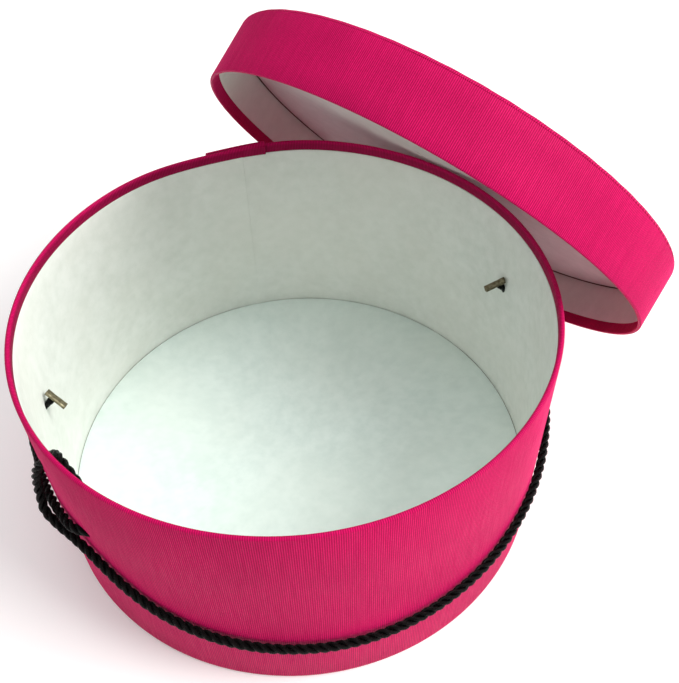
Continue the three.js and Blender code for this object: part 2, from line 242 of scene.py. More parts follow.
def ribbed_cloth(name, rib_bump, shade_from=None):
    """Faille: raised ribs wrapped by fine cross yarns, with slubs and a little uneven dye; its rib
    valleys are painted darker as shade. Past shade_from, in millimetres along the rib, it is painted
    darker still, as the shade inside the rim."""
    material, tree, shader = new_material(name)
    uv, across, along = weave_axes(tree)
    place = object_place(tree)
    wave = maths(tree, "COSINE", maths(tree, "MULTIPLY", across, 2 * math.pi))
    crest = maths(tree, "MULTIPLY_ADD", wave, 0.5, 0.5)
    streak = noise(tree, scaled(tree, uv, 0.8, 0.03), 1.0, 4.0, 0.65)
    dye = noise(tree, place, 14.0, 3.0)
    yarn = maths(tree, "COSINE", maths(tree, "MULTIPLY", along, 2 * math.pi / CROSS_YARN))
    mottle = noise(tree, scaled(tree, uv, 1.3, 0.6), 1.0, 2.0)

    # The valleys' painted shade, broken up by the slubs.
    shade = maths(tree, "MULTIPLY", crest, spread(tree, streak, 0.72, 1.12))
    colour = blend_colours(tree, shade, CLOTH_VALLEY_SHADE, CLOTH_CREST)
    value = maths(tree, "MULTIPLY", spread(tree, dye, 0.9, 1.06), spread(tree, mottle, 0.88, 1.08))
    if shade_from is not None:
        value = maths(tree, "MULTIPLY", value, painted_rim_shade(tree, along, shade_from))
    dye_and_painted_shade = add(tree, "ShaderNodeHueSaturation", {"Value": value, "Color": colour})
    tree.links.new(dye_and_painted_shade.outputs["Color"], shader.inputs["Base Color"])
    tree.links.new(spread(tree, streak, 0.62, 0.44), shader.inputs["Roughness"])

    height = maths(tree, "MULTIPLY", wave, rib_bump)
    for fine, share in ((yarn, 0.12), (streak, 0.7), (mottle, 0.3)):
        height = maths(tree, "MULTIPLY_ADD", fine, share, height)
    tree.links.new(bump(tree, height, 0.1), shader.inputs["Normal"])
    shader.inputs["Sheen Weight"].default_value = 0.03
    shader.inputs["Sheen Roughness"].default_value = 0.4
    shader.inputs["Sheen Tint"].default_value = (1.0, 0.35, 0.55, 1)
    shader.inputs["Specular IOR Level"].default_value = 0.06
    return material


def lining_paper(name, colour, shadow):
    """Ivory paper: cloudy thickness, fine grain, and a few darker fibres."""
    material, tree, shader = new_material(name)
    place = object_place(tree)
    cloud = noise(tree, place, 28.0, 4.0, 0.6)
    patch = noise(tree, place, 7.0, 2.0)
    grain = noise(tree, place, 900.0, 3.0)
    stretched = scaled(tree, place, 1.0, 1.0, 0.25)
    fibre = noise(tree, stretched, 420.0, 6.0, 0.7)
    flock = noise(tree, place, 110.0, 3.0, 0.6)
    blotch = maths(tree, "MULTIPLY_ADD", flock, 0.5, maths(tree, "MULTIPLY", cloud, 0.5))
    base = blend_colours(tree, spread(tree, blotch, -0.3, 1.3), colour, shadow)
    warm = (colour[0] * 1.02, colour[1] * 0.98, colour[2] * 0.95, 1)
    base = blend_colours(tree, spread(tree, patch, 0.0, 0.5), base, warm)
    speck = add(tree, "ShaderNodeMapRange", {"Value": fibre, "From Min": 0.70, "From Max": 0.80})
    speck = maths(tree, "MULTIPLY", speck.outputs["Result"], 0.35)
    base = blend_colours(tree, speck, base, (0.35, 0.34, 0.27, 1))
    tree.links.new(base, shader.inputs["Base Color"])
    tree.links.new(spread(tree, cloud, 0.62, 0.8), shader.inputs["Roughness"])
    height = maths(tree, "ADD", maths(tree, "MULTIPLY", cloud, 3.0), grain)
    tree.links.new(bump(tree, height, 0.06), shader.inputs["Normal"])
    shader.inputs["Specular IOR Level"].default_value = 0.25
    return material


def grey_board():
    """Pressed board with visible flecks. Its grey-brown is kept dark, partly the board's own colour
    and partly painted shade, so that the gaps between the papers show as dark lines.
    """
    material, tree, shader = new_material("grey_board")
    place = object_place(tree)
    fleck = noise(tree, place, 350.0, 6.0, 0.7)
    cloud = noise(tree, place, 30.0)
    base = blend_colours(tree, spread(tree, fleck, 0, 1), (0.09, 0.07, 0.05, 1), (0.22, 0.19, 0.15, 1))
    base = blend_colours(tree, spread(tree, cloud, 0, 0.4), base, (0.14, 0.12, 0.09, 1))
    tree.links.new(base, shader.inputs["Base Color"])
    tree.links.new(spread(tree, fleck, 0.85, 0.98), shader.inputs["Roughness"])
    tree.links.new(bump(tree, fleck, 0.15), shader.inputs["Normal"])
    return material


def soft_wadding():
    material, tree, shader = new_material("soft_wadding")
    place = object_place(tree)
    fibre = noise(tree, place, 260.0, 8.0, 0.75)
    base = blend_colours(tree, fibre, (0.80, 0.79, 0.74, 1), (0.92, 0.92, 0.88, 1))
    tree.links.new(base, shader.inputs["Base Color"])
    tree.links.new(spread(tree, fibre, 0.9, 1.0), shader.inputs["Roughness"])
    tree.links.new(bump(tree, fibre, 0.8), shader.inputs["Normal"])
    return material


def black_rope():
    """Shiny black yarn: fine filaments run along each strand, dulled in places."""
    material, tree, shader = new_material("black_rope")
    uv, around, along = weave_axes(tree)
    lay = maths(tree, "MULTIPLY_ADD", along, 0.16, around)
    filament = maths(tree, "SINE", maths(tree, "MULTIPLY", lay, 2 * math.pi * 24))
    lint = noise(tree, object_place(tree), 800.0, 3.0)
    wear = noise(tree, scaled(tree, uv, 3.0, 0.1), 1.0, 3.0)
    dark, light = (0.001, 0.001, 0.001, 1), (0.004, 0.004, 0.004, 1)
    base = blend_colours(tree, spread(tree, wear, 0.0, 1.0), dark, light)
    tree.links.new(base, shader.inputs["Base Color"])
    tree.links.new(spread(tree, lint, 0.15, 0.32), shader.inputs["Roughness"])
    height = maths(tree, "ADD", maths(tree, "MULTIPLY", filament, 0.3), lint)
    tree.links.new(bump(tree, height, 0.18), shader.inputs["Normal"])
    shader.inputs["Specular IOR Level"].default_value = 0.1
    return material


def old_brass():
    """Dull antique brass, darker in patches and finely scratched along the bar."""
    material, tree, shader = new_material("old_brass")
    place = object_place(tree)
    patch = noise(tree, place, 420.0, 4.0, 0.6)
    scratch = noise(tree, scaled(tree, place, 1.0, 1.0, 8.0), 900.0, 2.0)
    dull, bright = (0.10, 0.085, 0.045, 1), (0.34, 0.31, 0.20, 1)
    base = blend_colours(tree, spread(tree, patch, 0, 1), dull, bright)
    tree.links.new(base, shader.inputs["Base Color"])
    tree.links.new(spread(tree, patch, 0.62, 0.42), shader.inputs["Roughness"])
    tree.links.new(bump(tree, scratch, 0.05), shader.inputs["Normal"])
    shader.inputs["Metallic"].default_value = 0.75
    return material


def studio_floor():
    material, tree, shader = new_material("studio_floor")
    soft = noise(tree, object_place(tree), 2.0)
    base = blend_colours(tree, soft, (0.93, 0.93, 0.93, 1), (0.95, 0.95, 0.95, 1))
    tree.links.new(base, shader.inputs["Base Color"])
    shader.inputs["Roughness"].default_value = 0.9
    shader.inputs["Specular IOR Level"].default_value = 0.1
    shader.inputs["Emission Color"].default_value = (1, 1, 1, 1)
    shader.inputs["Emission Strength"].default_value = 0.15
    return material


DRUM_PAPER = lining_paper("wall_paper", (0.87, 0.90, 0.86, 1), (0.77, 0.81, 0.76, 1))
FLOOR_PAPER = lining_paper("floor_paper", (0.84, 0.96, 0.92, 1), (0.74, 0.87, 0.83, 1))
BAND_PAPER = lining_paper("band_paper", (0.80, 0.80, 0.76, 1), (0.72, 0.72, 0.68, 1))
# The paper under the lid's top is painted mauve and darker: painted pink light bounced from the cloth,
# and painted shade inside the lid.
TOP_PAPER = lining_paper("top_paper", (0.64, 0.55, 0.56, 1), (0.56, 0.48, 0.49, 1))
CLOTH = ribbed_cloth("ribbed_cloth", 0.0)
# The drum's cloth carries the painted shade inside its rim.
DRUM_CLOTH = ribbed_cloth("ribbed_cloth_drum", 0.0, PAINTED_SHADE_FROM)
FLAT_CLOTH = ribbed_cloth("ribbed_cloth_flat", 1.3)
BOARD = grey_board()
WADDING = soft_wadding()
ROPE = black_rope()
BRASS = old_brass()

# ---------------------------------------------------------------- mesh building


def from_grid(name, grid, weave, wrap_rows=True, cap_rows=False):
    """A mesh over a grid of points in millimetres, whose columns go round and close. weave gives
    the weave coordinates of each point, with one more column than the grid, and one more row too
    where the rows close as well."""
    rows, columns = grid.shape[:2]
    row_starts = np.arange(rows if wrap_rows else rows - 1)
    i, j = np.meshgrid(row_starts, np.arange(columns), indexing="ij")
    i, j = i.ravel(), j.ravel()
    row = np.stack([i, i, i + 1, i + 1], 1)
    column = np.stack([j, j + 1, j + 1, j], 1)
    faces = ((row % rows) * columns + column % columns).tolist()
    uv = weave[row, column].reshape(-1, 2)
    if cap_rows:
        faces.append(list(range(columns))[::-1])
        faces.append([(rows - 1) * columns + k for k in range(columns)])
        uv = np.concatenate([uv, weave[0, :columns][::-1], weave[rows - 1, :columns]])
    mesh = bpy.data.meshes.new(name)
    mesh.from_pydata((grid.reshape(-1, 3) * MM).tolist(), [], faces)
    layer = mesh.uv_layers.new(name="weave")
    layer.data.foreach_set("uv", uv.ravel())
    piece = bpy.data.objects.new(name, mesh)
    bpy.context.scene.collection.objects.link(piece)
    return piece


def clean(piece, sharp=50):
    """Welds doubled points, turns the faces outward, and shades smooth up to a sharp angle."""
    work = bmesh.new()
    work.from_mesh(piece.data)
    bmesh.ops.remove_doubles(work, verts=work.verts, dist=1e-7)
    bmesh.ops.dissolve_degenerate(work, edges=work.edges, dist=1e-7)
    bmesh.ops.recalc_face_normals(work, faces=work.faces)
    if work.calc_volume(signed=True) < 0:
        bmesh.ops.reverse_faces(work, faces=work.faces)
    work.to_mesh(piece.data)
    work.free()
    piece.data.shade_smooth()
    piece.data.set_sharp_from_angle(angle=math.radians(sharp))
    return piece


def apply_modifiers(piece):
    shown = piece.evaluated_get(bpy.context.evaluated_depsgraph_get())
    baked = bpy.data.meshes.new_from_object(shown)
    piece.modifiers.clear()
    piece.data = baked
    return piece


def finish_piece(piece, material, body, slot, *nodes):
    piece.data.materials.clear()
    piece.data.materials.append(material)
    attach(piece, body)
    if nodes:
        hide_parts(*nodes)
    return piece


def join(name, pieces):
    """One piece of several separate closed bodies."""
    work = bmesh.new()
    for piece in pieces:
        work.from_mesh(piece.data)
        bpy.data.objects.remove(piece)
    mesh = bpy.data.meshes.new(name)
    work.to_mesh(mesh)
    work.free()
    joined = bpy.data.objects.new(name, mesh)
    bpy.context.scene.collection.objects.link(joined)
    return joined


def filleted(corners, radii, steps=3):
    """A closed outline through these corners, each rounded by its own radius."""
    points = []
    count = len(corners)
    for k, radius in enumerate(radii):
        here = np.array(corners[k], float)
        back = np.array(corners[k - 1], float) - here
        ahead = np.array(corners[(k + 1) % count], float) - here
        back /= np.linalg.norm(back)
        ahead /= np.linalg.norm(ahead)
        half = math.acos(np.clip(back @ ahead, -1, 1)) / 2
        reach = radius / math.tan(half)
        centre = here + (back + ahead) / np.linalg.norm(back + ahead) * radius / math.sin(half)
        start, end = here + back * reach - centre, here + ahead * reach - centre
        for s in range(steps + 1):
            mixed = start + (end - start) * s / steps
            points.append(centre + mixed / np.linalg.norm(mixed) * radius)
    return np.array(points)


def divided(outline, longest):
    """Adds points along an outline's long stretches."""
    points = []
    for here, ahead in zip(outline, np.roll(outline, -1, axis=0)):
        steps = max(1, math.ceil(np.linalg.norm(ahead - here) / longest))
        points += [here + (ahead - here) * s / steps for s in range(steps)]
    return np.array(points)


def outline_normals(outline):
    """Unit normals of an anticlockwise outline, pointing out of it."""
    ahead = np.roll(outline, -1, axis=0) - np.roll(outline, 1, axis=0)
    normals = np.stack([ahead[:, 1], -ahead[:, 0]], 1)
    return normals / np.linalg.norm(normals, axis=1)[:, None]


def ripple(angles, heights, seed, waves=6):
    """A smooth uneven field from 0 to 1 over a round wall."""
    random = np.random.default_rng(seed)
    total = np.zeros((len(heights), len(angles)))
    for _ in range(waves):
        turns = random.integers(2, 14)
        climb = random.uniform(-0.03, 0.03)
        phase = random.uniform(0, 2 * math.pi)
        total += np.cos(turns * angles[None, :] + climb * heights[:, None] + phase)
    return (total / waves + 1) / 2


def revolved(name, outline, angles, push, rib_count=1, pull=None):
    """Turns an outline of (radius, height) points about Z. push[row, column] moves each point out
    along the outline's normal, and pull[row, column] moves it towards the axis."""
    normals = outline_normals(outline)
    radius = outline[:, 0][:, None] + normals[:, 0][:, None] * push
    height = outline[:, 1][:, None] + normals[:, 1][:, None] * push
    if pull is not None:
        radius = radius - pull
    grid = np.stack([radius * np.cos(angles), radius * np.sin(angles), height], 2)
    length = np.concatenate([[0], np.cumsum(np.linalg.norm(np.diff(outline, axis=0), axis=1))])
    length = np.append(length, length[-1] + np.linalg.norm(outline[0] - outline[-1]))
    turns = np.append(angles, angles[0] + 2 * math.pi) / (2 * math.pi)
    weave = np.stack(np.meshgrid(turns * rib_count, length), 2)
    return from_grid(name, grid, weave)


def flattening(angles, heights):
    """How far the drum's wall is drawn in beside the overlap, none at its foot."""
    away = (np.degrees(angles) - FLAT_ANGLE) / FLAT_SPREAD
    return np.outer(np.asarray(heights) / DRUM_HEIGHT, FLAT_DEPTH * np.exp(-away * away))


def rib_angles(radius):
    count = round(2 * math.pi * radius / RIB_PITCH)
    angles = np.arange(count * RIB_COLUMNS) * 2 * math.pi / (count * RIB_COLUMNS)
    return count, angles


def ribs(count, angles):
    return RIB_HEIGHT * (np.cos(count * angles) - 0.5)


def shown_side(outline, inner, outer):
    """1 on the cloth's shown side and 0 on the side against the board, which lies between these
    two radii."""
    radius = outline[:, 0]
    return np.where((radius < outer) & (radius > inner), 0.0, 1.0)


# ---------------------------------------------------------------- rope


def polar(angle, radius, height):
    a = math.radians(angle)
    return np.array([radius * math.cos(a), radius * math.sin(a), height])


def smooth_route(points, samples):
    """The centripetal Catmull-Rom curve through the points, its ends run straight on."""
    points = [2 * points[0] - points[1], *points, 2 * points[-1] - points[-2]]
    curve = []
    for a, b, c, d in zip(points, points[1:], points[2:], points[3:]):
        gaps = [math.sqrt(np.linalg.norm(q - p)) for p, q in ((a, b), (b, c), (c, d))]
        first = ((b - a) / gaps[0] - (c - a) / (gaps[0] + gaps[1]) + (c - b) / gaps[1]) * gaps[1]
        last = ((c - b) / gaps[1] - (d - b) / (gaps[1] + gaps[2]) + (d - c) / gaps[2]) * gaps[1]
        for t in np.arange(samples) / samples:
            square, cube = t * t, t * t * t
            curve.append(
                (2 * cube - 3 * square + 1) * b
                + (cube - 2 * square + t) * first
                + (3 * square - 2 * cube) * c
                + (cube - square) * last
            )
    curve.append(points[-2])
    return np.array(curve)


def respaced(curve, step):
    along = np.concatenate([[0], np.cumsum(np.linalg.norm(np.diff(curve, axis=0), axis=1))])
    places = np.linspace(0, along[-1], max(2, round(along[-1] / step)) + 1)
    return np.stack([np.interp(places, along, curve[:, k]) for k in range(3)], 1), places


# Any direction that a curve here doesn't start along.
ASIDE = (0.31, 0.22, 0.93)


def frames_along(curve):
    """Two unit vectors across the curve at each point that turn no more than it does."""
    tangent = np.gradient(curve, axis=0)
    tangent /= np.linalg.norm(tangent, axis=1)[:, None]
    side = np.cross(tangent[0], ASIDE)
    side /= np.linalg.norm(side)
    sides = [side]
    for k in range(1, len(curve)):
        side = sides[-1] - tangent[k] * (sides[-1] @ tangent[k])
        sides.append(side / np.linalg.norm(side))
    sides = np.array(sides)
    return sides, np.cross(tangent, sides)


def rings_about(curve, around):
    """Unit circles across the curve, one for each of its points, at these angles round it."""
    across, over = frames_along(curve)
    return (
        np.cos(around)[None, :, None] * across[:, None, :]
        + np.sin(around)[None, :, None] * over[:, None, :]
    )


YARNS = 6
YARN_DEPTH = 0.07
YARN_PITCH = 17
STRAND_SIDES = 24
STRAND_OFFSET = 0.268
STRAND_RADIUS = 0.232
ROPE_STEP = 1.15


def strand(name, curve, places, diameter, pitch, phase):
    """One strand of a right-laid rope: a tube whose yarns show as lobes twisted the other way."""
    side, up = frames_along(curve)
    turn = (phase + 2 * math.pi * places / pitch)[:, None]
    middle = curve + diameter * STRAND_OFFSET * (np.cos(turn) * side + np.sin(turn) * up)
    around = np.arange(STRAND_SIDES) * 2 * math.pi / STRAND_SIDES
    lobes = np.cos(YARNS * (around[None, :] + 2 * math.pi * places[:, None] / YARN_PITCH))
    radius = diameter * STRAND_RADIUS * (1 - YARN_DEPTH / 2 + YARN_DEPTH * lobes)
    grid = middle[:, None, :] + radius[..., None] * rings_about(middle, around)
    turns = np.append(around, 2 * math.pi) / (2 * math.pi)
    weave = np.stack(np.meshgrid(turns, places), 2)
    return clean(from_grid(name, grid, weave, wrap_rows=False, cap_rows=True), 70)


def twisted(name, curve, diameter, pitch, step):
    curve, places = respaced(curve, step)
    thirds = [k * 2 * math.pi / 3 for k in range(3)]
    strands = [strand(f"{name}_{k}", curve, places, diameter, pitch, p) for k, p in enumerate(thirds)]
    return join(name, strands)


def rope_end(angle, height, rise):
    """An end's hole, the way its tip rises into the drum, and the way the toggle lies."""
    inward = polar(angle + 180, 1, 0)
    up = np.array([0.0, 0.0, 1.0])
    r = math.radians(rise)
    along = inward * math.cos(r) + up * math.sin(r)
    across = inward * math.sin(r) - up * math.cos(r)
    t = math.radians(TOGGLE_TURN)
    across = across * math.cos(t) + np.cross(along, across) * math.sin(t)
    return polar(angle, WALL_MIDDLE, height), along, across


ENDS = {name: rope_end(**end) for name, end in ROPE_ENDS.items()}
ROUTE = smooth_route([polar(*point) for point in ROPE_ROUTE], samples=24)

THREAD = 0.55
THREAD_TURNS = 6
THREAD_SIDES = 8
STEPS_A_TURN = 20
BINDING_STARTS = (-6.6, 8.6)
TIP_PITCH = 13
TIP_STEP = 0.8
TIP_SEAT = 0.2


def whipping(name, centre, along, radius):
    """A coil of thread bound round a rope's end, as a tube along a close helix."""
    side = np.cross(along, [0.0, 0.0, 1.0])
    side /= np.linalg.norm(side)
    up = np.cross(along, side)
    turn = np.linspace(0, THREAD_TURNS, THREAD_TURNS * STEPS_A_TURN + 1)[:, None]
    a = 2 * math.pi * turn
    curve = centre + along * THREAD * turn + radius * (np.cos(a) * side + np.sin(a) * up)
    around = np.arange(THREAD_SIDES) * 2 * math.pi / THREAD_SIDES
    ring = THREAD / 2 * rings_about(curve, around)
    weave = np.stack(np.meshgrid(np.arange(THREAD_SIDES + 1) / THREAD_SIDES, turn[:, 0] * 10), 2)
    tube = from_grid(name, curve[:, None, :] + ring, weave, wrap_rows=False, cap_rows=True)
    return clean(tube, 80)


def make_tip(side_name):
    hole, along, _ = ENDS[side_name]
    name = f"{side_name}_tip"
    line = np.stack([hole - along * TIP_OUTSIDE, hole + along * (TIP_INSIDE + TIP_SEAT)])
    core = twisted(name + "_core", line, TIP_DIAMETER, TIP_PITCH, TIP_STEP)
    bound = [
        whipping(f"{name}_bound_{k}", hole + along * start, along, TIP_DIAMETER / 2)
        for k, start in enumerate(BINDING_STARTS)
    ]
    tip = join(name, [core, *bound])
    return finish_piece(tip, ROPE, f"{side_name}_toggle", "rope", f"{side_name}_rope_tip")


TOGGLE_STATIONS = 24
PINCH = 0.16
PINCH_LENGTH = 2.6
FLARE = 0.05
TOGGLE_EDGE = 0.14


def folded_sheet():
    """The section of a strip folded into a U, its fold at one side and its two lips at the other."""
    width, thickness, sheet = TOGGLE["width"], TOGGLE["thickness"], TOGGLE["sheet"]
    bend = thickness / 2
    arc = np.linspace(-math.pi / 2, -3 * math.pi / 2, 13)
    half_turn = np.stack([np.cos(arc), np.sin(arc)], 1)
    centre = np.array([-width / 2 + bend, bend])
    upper_lip = np.array([[width / 2, thickness], [width / 2, thickness - sheet]])
    lower_lip = np.array([[width / 2, sheet], [width / 2, 0]])
    outside, inside = centre + bend * half_turn, centre + (bend - sheet) * half_turn[::-1]
    return np.concatenate([outside, upper_lip, inside, lower_lip])


def soften_edges(piece, width):
    bevel = piece.modifiers.new("edges", "BEVEL")
    bevel.width = width * MM
    bevel.segments = 2
    bevel.limit_method = "ANGLE"
    bevel.angle_limit = math.radians(50)
    return clean(apply_modifiers(piece), 40)


def make_toggle(side_name):
    """A strip of sheet folded into a U, pinched where it grips the rope."""
    hole, along, across = ENDS[side_name]
    side = np.cross(along, across)
    outline = folded_sheet()
    middle = TOGGLE["thickness"] / 2
    stations = np.linspace(0, 1, TOGGLE_STATIONS)
    distance = (stations - TOGGLE["grip"]) * TOGGLE["length"]
    pinch = 1 - PINCH * np.exp(-((distance / PINCH_LENGTH) ** 2))
    flare = 1 + FLARE * np.abs(2 * stations - 1) ** 6
    x = outline[None, :, 0] * flare[:, None]
    y = middle + (outline[None, :, 1] - middle) * pinch[:, None]
    seat = hole + along * (TIP_INSIDE + GAP)
    lengthwise = distance[:, None, None] * across
    grid = seat + x[..., None] * side + y[..., None] * along + lengthwise
    weave = np.zeros((TOGGLE_STATIONS, len(outline) + 1, 2))
    name = f"{side_name}_toggle_fold"
    bar = clean(from_grid(name, grid, weave, wrap_rows=False, cap_rows=True), 40)
    soften_edges(bar, TOGGLE_EDGE)
    node = f"{side_name}_toggle_bar"
    return finish_piece(bar, BRASS, f"{side_name}_toggle", "toggle_metal", node)


def make_rope():
    """The rope, with its tips and toggles as the pieces on its ends."""
    rope = twisted("twisted_rope", ROUTE, ROPE_DIAMETER, ROPE_PITCH, ROPE_STEP)
    finish_piece(rope, ROPE, "drum", "rope", "handle_rope")
    fittings = [make(side) for side in ROPE_ENDS for make in (make_tip, make_toggle)]


make_rope()

# ---------------------------------------------------------------- holes

TIP_CLEARANCE = 0.35
ROPE_CLEARANCE = 0.4
TIP_PUNCH = 14
ROPE_PUNCH = 16


def placed(name, work, matrix):
    """An object made of this work mesh, put where the matrix says."""
    mesh = bpy.data.meshes.new(name)
    work.to_mesh(mesh)
    work.free()
    made = bpy.data.objects.new(name, mesh)
    made.matrix_world = matrix
    bpy.context.scene.collection.objects.link(made)
    return made


def punch(name, centre, along, radius, length):
    """A round cutter."""
    work = bmesh.new()
    wide = radius * MM
    bmesh.ops.create_cone(
        work, cap_ends=True, segments=40, radius1=wide, radius2=wide, depth=length * MM
    )
    turn = Vector(along).to_track_quat("Z", "Y").to_matrix().to_4x4()
    return placed(name, work, Matrix.Translation(Vector(centre) * MM) @ turn)


def wall_punches():
    """A cutter for each tip's hole and for each place where the rope goes through the wall."""
    tip_hole = TIP_DIAMETER / 2 + TIP_CLEARANCE
    rope_hole = ROPE_DIAMETER / 2 + ROPE_CLEARANCE
    cutters = [
        punch(f"punch_{name}", hole, along, tip_hole, TIP_PUNCH)
        for name, (hole, along, _) in ENDS.items()
    ]
    inside = np.hypot(ROUTE[:, 0], ROUTE[:, 1]) < WALL_MIDDLE
    for k in np.flatnonzero(inside[1:] != inside[:-1]):
        along = ROUTE[k + 2] - ROUTE[k - 1]
        cutters.append(punch(f"punch_{k}", ROUTE[k], along, rope_hole, ROPE_PUNCH))
    return cutters


def cut(piece, cutters):
    for cutter in cutters:
        hole = piece.modifiers.new(cutter.name, "BOOLEAN")
        hole.operation = "DIFFERENCE"
        hole.solver = "MANIFOLD"
        hole.object = cutter
    return apply_modifiers(piece)


def discard(cutters):
    for cutter in cutters:
        bpy.data.objects.remove(cutter)


# ---------------------------------------------------------------- drum

# How near a point is to count as on an edge.
NEAR = 0.4
DRUM_SLACK = 0.3
RAW_EDGE_WAVE = 0.25


def lap_ends():
    """The angles at which the lap begins and ends."""
    half = math.degrees(LAP_WIDTH / 2 / DRUM_RADIUS)
    return math.radians(LAP_ANGLE - half), math.radians(LAP_ANGLE + half)


def lapped_rim(outline, angles):
    """How far the cloth stands up on the rim and the turn-in: a step at one end of the lap, with a
    crease before it, that fades away towards the lap's other end."""
    first, last = lap_ends()
    share = (last - angles) / (last - first)
    step = np.where((share > 0) & (share < 1), RIM_STEP * share, 0.0)
    before = (first - angles) * DRUM_RADIUS
    step -= np.where((before >= 0) & (before < RIM_CREASE), RIM_CREASE_DEPTH, 0.0)
    radius, height = outline[:, 0], outline[:, 1]
    on_top = height > DRUM_HEIGHT - NEAR
    on_turn_in = (radius < LINING_OUTER - NEAR) & (height > DRUM_HEIGHT - DRUM_TURN_IN - 1)
    return np.outer(on_top | on_turn_in, step)


def make_drum_cloth(cutters):
    """The ribbed cloth, from its hem under the base over the rim to its raw edge inside."""
    radius, hem, rim = DRUM_RADIUS, HEM_BOTTOM, DRUM_HEIGHT
    board, lining = radius - FABRIC, LINING_OUTER
    raw_edge = rim - DRUM_TURN_IN
    corners = [
        (radius - DRUM_HEM, hem), (radius, hem), (radius, rim), (lining - FABRIC, rim),
        (lining - FABRIC, raw_edge), (lining, raw_edge), (lining, rim - FABRIC),
        (board, rim - FABRIC), (board, hem + FABRIC), (radius - DRUM_HEM, hem + FABRIC),
    ]
    radii = [0.2, 1.2, 1.7, 1.5, 0.2, 0.2, 0.6, 0.8, 0.7, 0.2]
    outline = divided(filleted(corners, radii, 2), longest=70)
    count, angles = rib_angles(radius)
    shown = shown_side(outline, lining - 0.15, board + 0.1)[:, None]
    slack = DRUM_SLACK * ripple(angles, outline[:, 1], 3)
    push = shown * (ribs(count, angles)[None, :] + slack)
    at_raw_edge = np.abs(outline[:, 1] - raw_edge) < NEAR
    push[at_raw_edge] = RAW_EDGE_WAVE * ripple(angles, np.zeros(1), 5, 12)
    push += lapped_rim(outline, angles)
    pull = flattening(angles, outline[:, 1])
    cloth = clean(revolved("drum_cloth", outline, angles, push, count, pull))
    cut(cloth, cutters)
    return finish_piece(cloth, DRUM_CLOTH, "drum", "ribbed_cloth", "body_fabric")


LAP_END_ROUND = 1.1
LAP_TOP_ROUND = 1.2
LAP_ROWS = 7
LAP_ROW_MARGIN = 8
LAP_INSIDE = DRUM_RADIUS + GAP
# The lap's inside has one column for every so many of its face's, and at its edges it moves
# outwards by this share of what its face is drawn in.
LAP_BACK_SPACING = 6
LAP_BACK_SHARE = 0.25


def lap_section(count):
    """Angles and radii across the lap, along its ribbed face and back along its inside."""
    first, last = lap_ends()
    face = np.linspace(first, last, round(LAP_WIDTH / RIB_PITCH) * RIB_COLUMNS + 1)
    back = face[::-1][::LAP_BACK_SPACING]
    from_end = np.minimum(face - first, last - face) * DRUM_RADIUS
    short = np.maximum(0, LAP_END_ROUND - from_end)
    drop = LAP_END_ROUND - np.sqrt(np.maximum(0, LAP_END_ROUND**2 - short**2))
    front = LAP_INSIDE + LAP_THICKNESS - drop + ribs(count, face)
    angle = np.concatenate([face, back])
    return angle, np.concatenate([front, np.full(len(back), LAP_INSIDE)])


def lap_rows():
    """The heights of the lap's rows, and how far each is drawn in at its lower and upper edge."""
    quarter = np.linspace(0, math.pi / 2, 5)
    middle = np.linspace(LAP_ROW_MARGIN, DRUM_HEIGHT - LAP_ROW_MARGIN, LAP_ROWS)
    top = DRUM_HEIGHT - LAP_TOP_ROUND * (1 - np.sin(quarter))
    heights = np.concatenate([[HEM_BOTTOM, HEM_BOTTOM + FABRIC], middle, top])
    upper_edge = LAP_TOP_ROUND * (1 - np.cos(quarter))
    return heights, np.concatenate([[FABRIC, 0.0], np.zeros(LAP_ROWS), upper_edge])


def make_lap():
    """The outer end of the covered wall, lapped over its beginning."""
    count, _ = rib_angles(DRUM_RADIUS)
    angle, radius = lap_section(count)
    heights, drawn_in = lap_rows()
    drawn_in = drawn_in[:, None]
    inside = LAP_INSIDE + drawn_in * LAP_BACK_SHARE
    rings = np.where(radius > LAP_INSIDE, radius[None, :] - drawn_in, inside)
    rings = np.maximum(LAP_INSIDE, rings) - flattening(angle, heights)
    upright = np.repeat(heights[:, None], len(angle), 1)
    grid = np.stack([rings * np.cos(angle), rings * np.sin(angle), upright], 2)
    columns = np.append(angle, angle[0]) * count / (2 * math.pi)
    weave = np.stack(np.meshgrid(columns, heights), 2)
    lap = clean(from_grid("drum_lap_cloth", grid, weave, wrap_rows=False, cap_rows=True))
    return finish_piece(lap, CLOTH, "drum", "ribbed_cloth", "body_fabric_lap")


def round_angles(count):
    return np.arange(count) * 2 * math.pi / count


PAPER_OVERLAP = 12
PAPER_STEP = 0.32
WALL_PAPER_WAVE = 0.35


def make_wall_paper(cutters):
    """The wall's lining, a little uneven, one end pasted over the other at the seam."""
    top = DRUM_HEIGHT - DRUM_TURN_IN - GAP
    foot = FLOOR_TOP - FLOOR_PAPER_THICKNESS
    corners = [(LINING_INNER, foot), (LINING_OUTER, foot), (LINING_OUTER, top), (LINING_INNER, top)]
    outline = divided(filleted(corners, [0.15, 0.15, 0.15, 0.3], 2), longest=14)
    seam = math.radians(LINER_SEAM)
    angles = np.sort(np.concatenate([round_angles(540), seam + np.array([-1e-3, 1e-3])]))
    inner = (outline[:, 0] < LINING_INNER + NEAR)[:, None]
    past = (angles - seam) * LINING_INNER / PAPER_OVERLAP
    doubled = np.where((past > 0) & (past < 1), PAPER_STEP * (1 - past), 0.0)
    wave = WALL_PAPER_WAVE * ripple(angles, outline[:, 1], 11, 9)
    push = np.where(inner, wave + doubled[None, :], 0.0)
    pull = flattening(angles, outline[:, 1])
    paper = clean(revolved("wall_paper", outline, angles, push, 1, pull))
    cut(paper, cutters)
    return finish_piece(paper, DRUM_PAPER, "drum", "lining_paper", "body_wall_liner")


DISC_COLUMNS = 240
# Points round a disc's rim, from its outermost ring on top to the one below.
RIM_POINTS = 7


